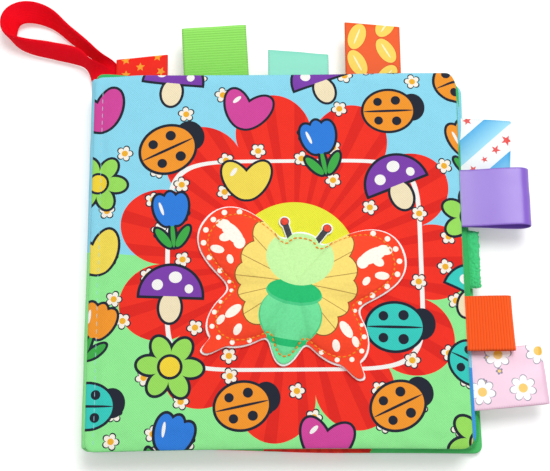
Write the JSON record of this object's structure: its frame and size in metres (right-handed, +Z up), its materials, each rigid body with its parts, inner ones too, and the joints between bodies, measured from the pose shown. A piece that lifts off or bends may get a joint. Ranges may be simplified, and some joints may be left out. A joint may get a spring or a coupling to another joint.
{
  "type": "soft cloth book",
  "caption": "Square soft cloth book with padded covers and leaves that turn on a cloth spine, ribbon tags round the edges, a wrist strap and a stuffed butterfly with a squeaker.",
  "frame": {"origin": "middle of the back cover's flat underside, on the surface the closed book lies on", "axes": "+X from the spine to the fore-edge, +Y to the top edge, +Z up out of the front cover"},
  "size_m": [0.2324, 0.2003, 0.0268],
  "materials": {
    "back_cover_lining": "matte",
    "back_cover_cloth": "matte",
    "leaf_2_upper_cloth": "matte",
    "leaf_2_lower_cloth": "matte",
    "leaf_1_upper_cloth": "matte",
    "leaf_1_lower_cloth": "matte",
    "front_cover_cloth": "matte",
    "front_cover_lining": "matte",
    "foam": "matte",
    "crinkle_film": "gloss",
    "spine_cloth": "matte",
    "tag_red_stars": "matte",
    "tag_green_ribbed": "matte",
    "tag_mint_satin": "satin",
    "tag_orange_printed": "satin",
    "tag_blue_striped": "matte",
    "tag_purple_satin": "satin",
    "tag_green_plush": "matte",
    "tag_orange_ribbed": "matte",
    "tag_pink_printed": "satin",
    "strap_knit": "matte",
    "white_felt": "matte",
    "butterfly_plush": "matte",
    "stuffing": "matte",
    "squeaker_plastic": "matte",
    "antenna_felt": "matte"
  },
  "bodies": {
    "back_cover": {"back_cover_cloth": "back_cover_cloth", "back_cover_lining": "back_cover_lining", "back_cover_foam": "foam", "back_cover_crinkle_film": "crinkle_film", "spine_fold_1": "spine_cloth", "wrist_strap": "strap_knit"},
    "leaf_2": {"leaf_2_upper_cloth": "leaf_2_upper_cloth", "leaf_2_lower_cloth": "leaf_2_lower_cloth", "leaf_2_foam": "foam", "leaf_2_crinkle_film": "crinkle_film", "spine_fold_2": "spine_cloth", "tag_red_stars": "tag_red_stars", "tag_blue_striped": "tag_blue_striped", "tag_green_plush": "tag_green_plush"},
    "leaf_1": {"leaf_1_upper_cloth": "leaf_1_upper_cloth", "leaf_1_lower_cloth": "leaf_1_lower_cloth", "leaf_1_foam": "foam", "leaf_1_crinkle_film": "crinkle_film", "spine_fold_3": "spine_cloth", "tag_green_ribbed": "tag_green_ribbed", "tag_orange_printed": "tag_orange_printed", "tag_purple_satin": "tag_purple_satin", "tag_pink_printed": "tag_pink_printed"},
    "front_cover": {"front_cover_cloth": "front_cover_cloth", "front_cover_lining": "front_cover_lining", "front_cover_foam": "foam", "front_cover_crinkle_film": "crinkle_film", "tag_mint_satin": "tag_mint_satin", "tag_orange_ribbed": "tag_orange_ribbed", "butterfly_backing_felt": "white_felt", "butterfly_face": "butterfly_plush", "butterfly_stuffing": "stuffing", "squeaker_bellows": "squeaker_plastic", "squeaker_reed": "squeaker_plastic", "antenna_left": "antenna_felt", "antenna_right": "antenna_felt"}
  },
  "joints": [
    {"name": "leaf_2_turn", "type": "hinge", "parent": "back_cover", "child": "leaf_2", "pos_m": [-0.0815, 0, 0.0134], "axis": [0, -1, 0], "range_deg": [0, 179.5], "deforming": ["spine_fold_1"]},
    {"name": "leaf_1_turn", "type": "hinge", "parent": "leaf_2", "child": "leaf_1", "pos_m": [-0.0815, 0, 0.0134], "axis": [0, -1, 0], "range_deg": [0, 179.5], "deforming": ["spine_fold_2"]},
    {"name": "front_cover_turn", "type": "hinge", "parent": "leaf_1", "child": "front_cover", "pos_m": [-0.0815, 0, 0.0134], "axis": [0, -1, 0], "range_deg": [0, 179.5], "deforming": ["spine_fold_3"]}
  ]
}
